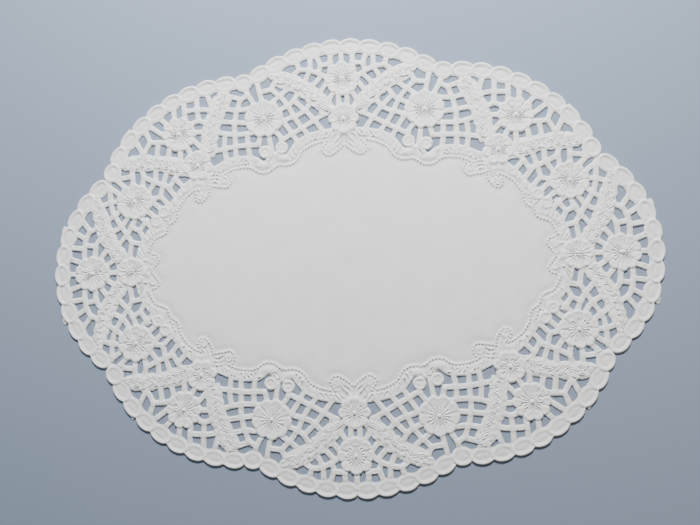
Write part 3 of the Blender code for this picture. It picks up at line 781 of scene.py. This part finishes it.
def quarter_plan():
    """The outer edge of one quarter, and all its gaps, cut off at the two axes."""
    reach = HALF_LENGTH + HALF_WIDTH
    square = [Vector(corner) for corner in ((0, 0), (reach, 0), (reach, reach), (0, reach))]
    points, faces, sources, numbers = flat_map([square] + paper_shapes(), weld=WELD)
    quarter = [(face, source) for face, source in zip(faces, sources) if 0 in source]
    solid = [face for face, source in quarter if len(source) > 1]
    gaps = []
    for group in connected([face for face, source in quarter if len(source) == 1]):
        outline = [points[index] for index in max(region_loops(group), key=len)]
        if max(point.length for point in outline) > reach - WELD:
            continue
        solid += group
        if loop_area(outline) > LEAST_GAP:
            gaps.append(tidy_loop(outline))
    loops = [[points[index] for index in loop] for loop in region_loops(solid)]
    return tidy_loop(max(loops, key=loop_area)), gaps


class Cover:
    """A shape that is pressed already, so that nothing under it is pressed again."""

    def __init__(self, outline):
        self.outline = outline
        self.low = Vector((min(p.x for p in outline), min(p.y for p in outline)))
        self.high = Vector((max(p.x for p in outline), max(p.y for p in outline)))

    def holds(self, point):
        """Whether a point lies inside the shape."""
        x, y = point
        if not (self.low.x < x < self.high.x and self.low.y < y < self.high.y):
            return False
        inside = False
        before = self.outline[-1]
        for corner in self.outline:
            if (corner.y > y) != (before.y > y):
                share = (y - corner.y) / (before.y - corner.y)
                if x < corner.x + (before.x - corner.x) * share:
                    inside = not inside
            before = corner
        return inside


class Pressing:
    """The points at which the paper is pressed up or down, each with its rise."""

    def __init__(self, loops):
        self.cells = {}
        self.covers = []
        self.points = []
        self.rises = []
        self.mottle = 0.0
        for loop in loops:
            for point in loop:
                self.note(point)

    def note(self, point):
        """Remember where a point is."""
        key = (int(point.x // CELL), int(point.y // CELL))
        self.cells.setdefault(key, []).append(point)

    def crowded(self, point, room):
        """Whether another point is nearer than the room that this one needs."""
        column = int(point.x // CELL)
        line = int(point.y // CELL)
        for i in (column - 1, column, column + 1):
            for j in (line - 1, line, line + 1):
                for other in self.cells.get((i, j), ()):
                    if (other - point).length < room:
                        return True
        return False

    def press(self, point, rise, room=ROOM):
        """Press one point, unless it is outside the quarter, covered or crowded."""
        if point.x < -WELD or point.y < -WELD:
            return
        x = 0.0 if point.x < AXIS_ROOM else point.x
        y = 0.0 if point.y < AXIS_ROOM else point.y
        place = Vector((x, y))
        if any(cover.holds(place) for cover in self.covers) or self.crowded(place, room):
            return
        self.note(place)
        self.points.append(place)
        lumps = layer_noise(place.x, place.y, MOTTLE_LAYER, MOTTLE_LENGTH)
        self.rises.append(rise + self.mottle * lumps)

    def press_ring(self, x, y, radius, rise, steps, room=ROOM, shift=0.0):
        """Press points all the way round a circle, turned on by a share of a step."""
        for step in range(steps):
            self.press(polar(x, y, radius, 360.0 * (step + shift) / steps), rise, room)

    def press_rows(self, line, rows, step=ROW_STEP, slant=0.0):
        """Press rows of points beside a line, each moved along as the slant says."""
        stops = even_line(line, step)
        for row in rows:
            for index, (point, side) in enumerate(zip(stops, line_sides(stops))):
                rise = row.between if index % 2 else row.rise
                along = side.orthogonal() * slant
                self.press(point + (side + along) * row.offset, rise)

    def cover(self, outline):
        """Keep what comes later out of a shape."""
        self.covers.append(Cover(outline))


def press_beads(sheet):
    """Dish every bead, with a rounded lip. Each bead lies over the end of the one before."""
    for bead in rim_beads()[::-1]:
        for ring in BEAD_RINGS:
            around = math.pi * (bead.half_length + bead.half_width - 2 * ring.inset)
            steps = 4 * max(2, round(around / ring.step / 4))
            for point in bead_outline(bead, ring.inset, steps):
                outer = (point - bead.centre).dot(bead.outward) / bead.half_width
                rise = ring.rise
                if ring.inset > BEAD_LIP:
                    lumps = layer_noise(point.x, point.y, BEAD_LAYER, BEAD_MOTTLE_LENGTH)
                    rise -= BEAD_CRESCENT * max(0.0, outer)
                    rise += BEAD_MOTTLE * lumps
                elif ring.inset:
                    rise -= BEAD_INNER_LIP * max(0.0, -outer)
                sheet.press(point, rise)
        sheet.press(bead.centre, BEAD_RINGS[-1].rise)
        sheet.cover(bead_outline(bead))


def press_motif(sheet, motif):
    """A button, fine grooves round it, and petals with raised edges."""
    middle = Vector((motif.x, motif.y))
    sheet.press(middle, BUTTON_TOP)
    for radius, rise, steps in BUTTON_RINGS:
        sheet.press_ring(motif.x, motif.y, radius, rise, steps, shift=0.5)
    petal = 360.0 / motif.petals
    for ring in FLOWER_RINGS:
        if motif.radius - ring.inset < motif.groove_end + GROOVE_CLEARANCE:
            break
        for share in PETAL_SHARES:
            for index in range(motif.petals):
                angle = motif.first_angle + petal * (index + share)
                crease = PETAL_CREASE if share == 0.5 and ring.inset else 0.0
                reach = petal_reach(motif, angle) - ring.inset
                sheet.press(polar(motif.x, motif.y, reach, angle), ring.rise - crease)
    radius = GROOVE_START
    while radius < motif.groove_end:
        last = radius + GROOVE_STEP >= motif.groove_end
        for step in range(motif.grooves * 2):
            angle = GROOVE_ANGLE + 180.0 * step / motif.grooves
            rise = GROOVE_RIDGE if step % 2 or (last and step % 4) else GROOVE_FLOOR
            sheet.press(polar(motif.x, motif.y, radius, angle), rise, GROOVE_ROOM)
        radius += GROOVE_STEP
    sheet.cover(motif_outline(motif))


def press_scroll(sheet, scroll, rings):
    """Rings that wind into the middle of a scroll's head or a bud."""
    for ring in rings:
        middle = max(scroll.radius - ring.inset, 0.0)
        steps = max(1, round(2 * math.pi * middle / ring.step))
        for step in range(steps):
            wound = SCROLL_WIND * (step / steps - 0.5) if 0.0 < ring.inset < SCROLL_EYE else 0.0
            place = polar(scroll.x, scroll.y, middle + wound, 360.0 * step / steps)
            sheet.press(place, ring.rise)
    sheet.cover(scroll_outline(scroll))


def press_leaf(sheet, leaf, band=None, room=ROOM):
    """Three ridges that run together at the leaf's tip, as far as they lie on its band."""
    length = (leaf.tip - leaf.base).length
    steps = max(2, round(length / ROW_STEP))
    side = side_normal(leaf.tip - leaf.base)
    for row, rise in LEAF_ROWS:
        for step in range(steps + 1):
            width = leaf_width(leaf, step / steps)
            if row % 3 and width < leaf.half_width * LEAF_NARROW:
                continue
            point = leaf.base.lerp(leaf.tip, step / steps) + side * width * row / 3
            lowered = 1.0 - LEAF_TIP_DROP * (step / steps) ** 2
            if band is None or band.holds(point):
                sheet.press(point, rise * lowered, room)
    sheet.cover(leaf_outline(leaf))


def press_bands(sheet):
    """The small leaves of every band, then what stands out of the top band."""
    for band in BANDS:
        shoulder = band_outline(band, LEAFLET_MARGIN)
        for point in even_line(shoulder, ROW_STEP):
            sheet.press(point, BAND_SHOULDER)
        middle = Cover(shoulder)
        pressed = len(sheet.covers)
        for leaflet in band_leaflets(band):
            press_leaf(sheet, leaflet, middle, LEAFLET_ROOM)
        del sheet.covers[pressed:]
        sheet.cover(band_outline(band))
    for bud in BUDS:
        press_scroll(sheet, bud, BUD_RINGS)
    for leaf in laid_leaves(TOP_LEAVES):
        press_leaf(sheet, leaf)


def press_threads(sheet):
    """Two soft ridges along every thread, level where threads cross."""
    strips = [Cover(thread_outline(thread)) for panel in PANELS for thread in panel]
    for panel in PANELS:
        for thread in panel:
            stops = even_line(thread_line(thread), THREAD_STEP)
            for row in THREAD_ROWS:
                for point, side in zip(stops, line_sides(stops)):
                    place = point + side * row.offset
                    crossing = sum(strip.holds(place) for strip in strips) > 1
                    sheet.press(place, CROSSING_RISE if crossing else row.rise)
    sheet.covers += strips


def press_pearls(sheet, stops):
    """A row of small raised pearls."""
    for point in even_line(smooth_line(stops, EDGING_STEPS), PEARL_PITCH):
        for radius, rise, steps in PEARL_RINGS:
            sheet.press_ring(*point, radius, rise, steps, PEARL_ROOM)


def press_curl(sheet, curl):
    """Ridges along the curl's tail, and rings round the middle of its head."""
    for radius, rise in CURL_HEAD:
        steps = max(1, round(2 * math.pi * radius / CURL_STEP))
        sheet.press_ring(*curl.head, radius, rise, steps)
    for ridge in curl.ridges:
        sheet.press_rows(smooth_line(ridge, EDGING_STEPS), CURL_ROWS, CURL_STEP)


def inner_field():
    """Everything inside the steps."""
    stops = [Vector(stop) for edging in STEPS for stop in edging.stops]
    return ([Vector((OUTSIDE, OUTSIDE)), Vector((OUTSIDE, FIELD_TOP))] + stops
            + [Vector((FIELD_END, 0.0)), Vector((FIELD_END, OUTSIDE))])


def press_border(sheet):
    """The pearls, steps and rope along the edge of the plain centre, the curls and the lenses."""
    pearl_lines = [curl.pearls for curl in CURLS] + [edging.stops for edging in PEARLS]
    for stops in pearl_lines:
        press_pearls(sheet, stops)
    sheet.mottle = BORDER_MOTTLE
    for curl in CURLS:
        press_curl(sheet, curl)
    for edging in STEPS:
        sheet.press_rows(smooth_line(edging.stops, EDGING_STEPS), STEP_ROWS, EDGING_STEP)
    for lens in laid_leaves(LENSES):
        press_leaf(sheet, lens)
    sheet.cover(inner_field())
    line = smooth_line(BORDER, BORDER_STEPS)[::-1]
    sheet.press_rows(line, BORDER_ROWS, ROPE_STEP, ROPE_SLANT)
    sheet.covers.pop()
    sheet.mottle = 0.0
    for stops in pearl_lines:
        sheet.press_rows(smooth_line(stops, EDGING_STEPS), SLOPE_ROWS, SLOPE_STEP)


def lattice(pitch, width, height):
    """Rows of points, each row set half a step along, with a row on the long axis."""
    points = []
    for line in range(int(height / pitch / LATTICE_RISE) + 1):
        shift = pitch / 2 if line % 2 else 0.0
        for column in range(int(width / pitch) + 1):
            points.append(Vector((column * pitch + shift, line * pitch * LATTICE_RISE)))
    return points


def press_rest(sheet):
    """Level points in the plain centre, and in the small places that nothing else presses."""
    inner = smooth_line(BORDER, BORDER_STEPS)
    plain = Cover([Vector((OUTSIDE, OUTSIDE)), Vector((OUTSIDE, inner[0].y))] + inner
                  + [Vector((inner[-1].x, OUTSIDE))])
    for point in lattice(PLAIN_PITCH, HALF_LENGTH, HALF_WIDTH):
        if plain.holds(point) or on_axis(point):
            sheet.press(point, CENTRE_RISE, PLAIN_ROOM)
    sheet.covers = [plain]
    for point in lattice(LACE_PITCH, HALF_LENGTH, HALF_WIDTH):
        sheet.press(point, COLLAR_RISE, LACE_ROOM)


def snapped(value):
    """A coordinate that lies on a mirror axis, set to exactly nought."""
    return 0.0 if abs(value) < WELD else value


def paper_faces(loops, marks):
    """The triangles of the paper between its outer edge and its gaps."""
    points, faces, sources, numbers = flat_map(loops, marks)
    paper = [face for face, source in zip(faces, sources) if source == [0]]
    places = [Vector((snapped(point.x), snapped(point.y))) for point in points]
    kept = [face for face in paper
            if any(places[index].x for index in face) and any(places[index].y for index in face)]
    return places, kept, numbers


def upper_face(mesh, rise_layer, loops, sheet):
    """Add the quarter's embossed upper face."""
    places, faces, numbers = paper_faces(loops, sheet.points)
    edge_points = sum(len(loop) for loop in loops)
    corners = {}
    for index in sorted({index for face in faces for index in face}):
        number = numbers[index]
        rise = EDGE_RISE if number < edge_points else sheet.rises[number - edge_points]
        height = max(THINNEST, PAPER + rise * PRESS_DEPTH)
        place = Vector((places[index].x, places[index].y, height))
        corners[index] = mesh.verts.new(place * MM)
        # The raw rise is kept on each point for the painted shade of the grooves, also where the
        # height is held at the thinnest.
        corners[index][rise_layer] = rise
    for face in faces:
        mesh.faces.new([corners[index] for index in face])
    return {numbers[index]: vert for index, vert in corners.items()}


def close_underneath(mesh, rise_layer, loops, upper):
    """Walls down from the cut edges, and the sheet's back between them."""
    cut_edges = [edge for edge in mesh.edges if edge.is_boundary
                 and not along_axis(*[vert.co.xy / MM for vert in edge.verts])]
    walls = bmesh.ops.extrude_edge_only(mesh, edges=cut_edges)["geom"]
    foot = {item for item in walls if isinstance(item, bmesh.types.BMVert)}
    below = {}
    for vert in foot:
        top = next(edge.other_vert(vert) for edge in vert.link_edges
                   if edge.other_vert(vert) not in foot)
        below[top] = vert
        vert.co.z = 0.0
        vert[rise_layer] = 0.0
    spread = Pressing(loops)
    for point in lattice(BACK_PITCH, HALF_LENGTH, HALF_WIDTH):
        spread.press(point, 0.0, BACK_ROOM)
    places, faces, numbers = paper_faces(loops, spread.points)
    corners = {}
    for index in sorted({index for face in faces for index in face}):
        vert = below.get(upper.get(numbers[index]))
        place = Vector((places[index].x, places[index].y, 0.0))
        corners[index] = vert or mesh.verts.new(place * MM)
    for face in faces:
        mesh.faces.new([corners[index] for index in face[::-1]])


# How the sheet lies: slight waves, a rim that stands up a little here and there, and the small
# irregularities of pressed paper, none of them mirrored.
WAVE_LENGTH = 70.0
WAVE_HEIGHT = 0.1
RIM_START = 0.62
RIM_LIFT = 0.22
RIM_LENGTH = 42.0
RIPPLE_LENGTH = 9.0
RIPPLE_HEIGHT = 0.08
GRAIN_LENGTH = 1.5
GRAIN_HEIGHT = 0.08
WANDER_LENGTH = 2.6
WANDER = 0.1
WANDER_SEED = 5
DRIFT_LENGTH = 45.0
DRIFT = 0.25


def swell(x, y, layer, length):
    """The same noise, from nought to one."""
    return 0.5 + 0.5 * layer_noise(x, y, layer, length)


def lie(x, y):
    """How high the sheet's back lies above the floor."""
    out = math.hypot(x / HALF_LENGTH, y / HALF_WIDTH)
    rim = max(0.0, (out - RIM_START) / (1.0 - RIM_START)) ** 2
    return (WAVE_HEIGHT * swell(x, y, WAVE_LAYER, WAVE_LENGTH)
            + RIM_LIFT * rim * swell(x, y, RIM_LAYER, RIM_LENGTH)
            + RIPPLE_HEIGHT * swell(x, y, RIPPLE_LAYER, RIPPLE_LENGTH))


def settle(mesh):
    """Lay the flat sheet down unevenly, and let its cut edges wander a little."""
    noise.seed_set(WANDER_SEED)
    for vert in mesh.verts:
        x, y, z = vert.co / MM
        wander = noise.noise_vector(Vector((x, y, WANDER_LAYER)) / WANDER_LENGTH) * WANDER
        drift = noise.noise_vector(Vector((x, y, DRIFT_LAYER)) / DRIFT_LENGTH) * DRIFT
        grain = layer_noise(x, y, GRAIN_LAYER, GRAIN_LENGTH) * GRAIN_HEIGHT
        height = z + lie(x, y) + (grain if z > PAPER / 2 else 0.0)
        vert.co = Vector((x + wander.x + drift.x, y + wander.y + drift.y, height)) * MM
    lowest = min(vert.co.z for vert in mesh.verts)
    for vert in mesh.verts:
        vert.co.z -= lowest


def sheet_mesh():
    """The whole doily: one quarter, mirrored twice, closed underneath and laid down."""
    outline, gaps = quarter_plan()
    loops = [outline] + gaps
    sheet = Pressing(loops)
    press_beads(sheet)
    sheet.mottle = MOTIF_MOTTLE
    for motif in MOTIFS:
        press_motif(sheet, motif)
    for scroll in SCROLLS:
        press_scroll(sheet, scroll, SCROLL_RINGS)
    sheet.mottle = LEAF_MOTTLE
    press_bands(sheet)
    sheet.mottle = 0.0
    press_threads(sheet)
    press_border(sheet)
    press_rest(sheet)
    mesh = bmesh.new()
    rise_layer = mesh.verts.layers.float.new("rise")
    upper = upper_face(mesh, rise_layer, loops, sheet)
    close_underneath(mesh, rise_layer, loops, upper)
    for axis in "XY":
        quarter = mesh.verts[:] + mesh.edges[:] + mesh.faces[:]
        bmesh.ops.mirror(mesh, geom=quarter, axis=axis, merge_dist=0.0)
        bmesh.ops.remove_doubles(mesh, verts=mesh.verts[:], dist=WELD * MM / 2)
    bmesh.ops.recalc_face_normals(mesh, faces=mesh.faces[:])
    settle(mesh)
    return mesh


class Wire:
    """A node's output that can be used in a sum, which adds the Math nodes for it."""

    def __init__(self, finish, socket):
        self.finish = finish
        self.socket = socket

    def maths(self, operation, first, second):
        """Add one Math node."""
        return self.finish.node("ShaderNodeMath", {"operation": operation}, {0: first, 1: second})

    def __add__(self, other):
        return self.maths("ADD", self, other)

    def __sub__(self, other):
        return self.maths("SUBTRACT", self, other)

    def __mul__(self, other):
        return self.maths("MULTIPLY", self, other)

    __radd__ = __add__


class Finish:
    """A material that is put together from nodes."""

    def __init__(self, name):
        self.material = bpy.data.materials.new(name)
        self.material.use_nodes = True
        self.tree = self.material.node_tree
        self.shader = self.tree.nodes["Principled BSDF"]

    def node(self, kind, settings=None, inputs=None, output=0):
        """Add a node, with its settings first and then the values or links of its sockets."""
        node = self.tree.nodes.new(kind)
        for name, value in (settings or {}).items():
            if name == "stops":
                while len(node.color_ramp.elements) < len(value):
                    node.color_ramp.elements.new(0.5)
                for element, (position, colour) in zip(node.color_ramp.elements, value):
                    element.position = position
                    element.color = colour
            else:
                setattr(node, name, value)
        for name, value in (inputs or {}).items():
            self.put(node.inputs[name], value)
        return Wire(self, node.outputs[output])

    def put(self, socket, value):
        """Set a socket, or link it."""
        if isinstance(value, Wire):
            self.tree.links.new(value.socket, socket)
        else:
            socket.default_value = value

    def shade(self, name, value):
        """Set or link one of the shader's own sockets."""
        self.put(self.shader.inputs[name], value)

    def place(self):
        """The place on the object, in metres."""
        return self.node("ShaderNodeTexCoord", output="Object")

    def cloud(self, size, detail=2.0, roughness=0.5):
        """Soft noise whose features are about a size in millimetres."""
        return self.node("ShaderNodeTexNoise", None,
                         {"Vector": self.place(), "Scale": 1.0 / (size * MM), "Detail": detail,
                          "Roughness": roughness})


# Colours, the sizes in millimetres and the shares of what roughens the paper, and gloss.
PAPER_COLOUR = (0.87, 0.87, 0.86, 1.0)
# The grey painted into the grooves as painted shade, which stands in for the shade that falls in
# them.
PAINTED_GROOVE_SHADE = (0.66, 0.66, 0.66, 1.0)
FLOOR_COLOUR = (0.24, 0.29, 0.38, 1.0)
# Between these rises the paper goes from the painted groove shade to its own white.
GREYEST_RISE = -0.25
WHITEST_RISE = 0.2
CLOUD_SIZE = 14.0
CLOUD_SHARE = 0.3
FIBRE_SIZE = 0.5
FIBRE_DETAIL = 4.0
FIBRE_ROUGHNESS = 0.6
FIBRE_SHARE = 0.6
STIPPLE_SIZE = 0.9
STIPPLE_SHARE = 0.5
COCKLE_SIZE = 7.0
COCKLE_SHARE = 1.1
BUMP_STRENGTH = 0.35
BUMP_DEPTH = 0.00012
GLOSS_SIZE = 5.0
GLOSS_SHARE = 0.2
LEAST_ROUGHNESS = 0.7
PAPER_SPECULAR = 0.3
FLOOR_SPECULAR = 0.2
FLOOR_ROUGHNESS = 0.9
SHARP_ANGLE = 62.0


def paper_finish():
    """Matt white paper: fibres, faint clouds, and painted shade that makes the grooves greyer than
    the ridges.
    """
    finish = Finish("white paper")
    rise = finish.node("ShaderNodeAttribute", {"attribute_name": "rise"}, output="Fac")
    clouds = finish.cloud(CLOUD_SIZE)
    # The lower the rise, the more painted shade; the clouds add the paper's own faint random tone.
    painted_shade_and_clouds = finish.node("ShaderNodeMapRange", None,
                       {"Value": rise + (clouds - 0.5) * CLOUD_SHARE,
                        "From Min": GREYEST_RISE, "From Max": WHITEST_RISE})
    colour = finish.node("ShaderNodeMix", {"data_type": "RGBA"},
                         {"Factor": painted_shade_and_clouds, "A": PAINTED_GROOVE_SHADE, "B": PAPER_COLOUR}, output="Result")
    finish.shade("Base Color", colour)
    finish.shade("Roughness", LEAST_ROUGHNESS + finish.cloud(GLOSS_SIZE) * GLOSS_SHARE)
    finish.shade("Specular IOR Level", PAPER_SPECULAR)
    fibres = finish.cloud(FIBRE_SIZE, FIBRE_DETAIL, FIBRE_ROUGHNESS)
    stipple = finish.node("ShaderNodeTexVoronoi", None,
                          {"Vector": finish.place(), "Scale": 1.0 / (STIPPLE_SIZE * MM)},
                          output="Distance")
    height = (fibres * FIBRE_SHARE + stipple * STIPPLE_SHARE
              + finish.cloud(COCKLE_SIZE) * COCKLE_SHARE)
    bump = finish.node("ShaderNodeBump", None,
                       {"Strength": BUMP_STRENGTH, "Distance": BUMP_DEPTH, "Height": height})
    finish.shade("Normal", bump)
    return finish.material


def floor_finish():
    """A plain pale floor."""
    finish = Finish("pale floor")
    finish.shade("Base Color", FLOOR_COLOUR)
    finish.shade("Roughness", FLOOR_ROUGHNESS)
    finish.shade("Specular IOR Level", FLOOR_SPECULAR)
    return finish.material


def placed(name, data):
    """A new object in the scene, at the origin."""
    item = bpy.data.objects.new(name, data)
    bpy.context.scene.collection.objects.link(item)
    return item


def piece(name, shape, material):
    """An object made of a shape and its material."""
    mesh = bpy.data.meshes.new(name)
    shape.to_mesh(mesh)
    shape.free()
    mesh.materials.append(material)
    return placed(name, mesh)


def add_doily():
    """The doily takes the place of its plain solid."""
    doily = piece("paper_doily", sheet_mesh(), paper_finish())
    doily.data.shade_smooth()
    doily.data.set_sharp_from_angle(angle=math.radians(SHARP_ANGLE))
    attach(doily, "root")
    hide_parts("doily")


FLOOR_SIZE = 6.0


def add_floor():
    """The floor that the doily lies on."""
    shape = bmesh.new()
    bmesh.ops.create_grid(shape, x_segments=1, y_segments=1, size=FLOOR_SIZE / 2)
    piece("floor", shape, floor_finish())


CAMERA_PLACE = (0.0172, -0.0158, 0.2604)
CAMERA_AIM = (0.00053, 0.00032, 0.0)
CAMERA_ROLL = 2.17
LENS = 26.95
SENSOR = 36.0


def add_camera():
    """A camera nearly straight above, turned a little."""
    place = Vector(CAMERA_PLACE)
    back = (place - Vector(CAMERA_AIM)).normalized()
    roll = math.radians(CAMERA_ROLL)
    right = Vector((math.sin(roll), math.cos(roll), 0.0)).cross(back).normalized()
    up = back.cross(right)
    data = bpy.data.cameras.new("camera")
    data.lens = LENS
    data.sensor_width = SENSOR
    data.clip_start = 0.01
    camera = placed("camera", data)
    turn = Matrix((right, up, back)).transposed()
    camera.matrix_world = Matrix.Translation(place) @ turn.to_4x4()
    bpy.context.scene.camera = camera


Light = namedtuple("Light", "name place size power colour")
LIGHTS = (
    Light("window light", (0.03, 0.46, 0.36), 0.10, 8.35, (1.0, 1.0, 1.0)),
    Light("cool side light", (-0.50, 0.20, 0.36), 0.5, 0.9, (0.72, 0.87, 1.0)),
    Light("warm side light", (0.50, -0.20, 0.36), 0.5, 0.6, (1.0, 0.90, 0.72)),
)
ROOM_LIGHT = (0.5, 0.53, 0.58, 1.0)
ROOM_STRENGTH = 0.09


def add_lights():
    """A window's light from the far side, two weak side lights, and the pale room around."""
    for light in LIGHTS:
        data = bpy.data.lights.new(light.name, "AREA")
        data.size = light.size
        data.energy = light.power
        data.color = light.colour
        lamp = placed(light.name, data)
        lamp.location = light.place
        lamp.rotation_euler = Vector(light.place).to_track_quat("Z", "Y").to_euler()
    world = bpy.data.worlds.new("pale room")
    world.use_nodes = True
    background = world.node_tree.nodes["Background"]
    background.inputs["Color"].default_value = ROOM_LIGHT
    background.inputs["Strength"].default_value = ROOM_STRENGTH
    bpy.context.scene.world = world


add_camera()
add_floor()
add_lights()
add_doily()
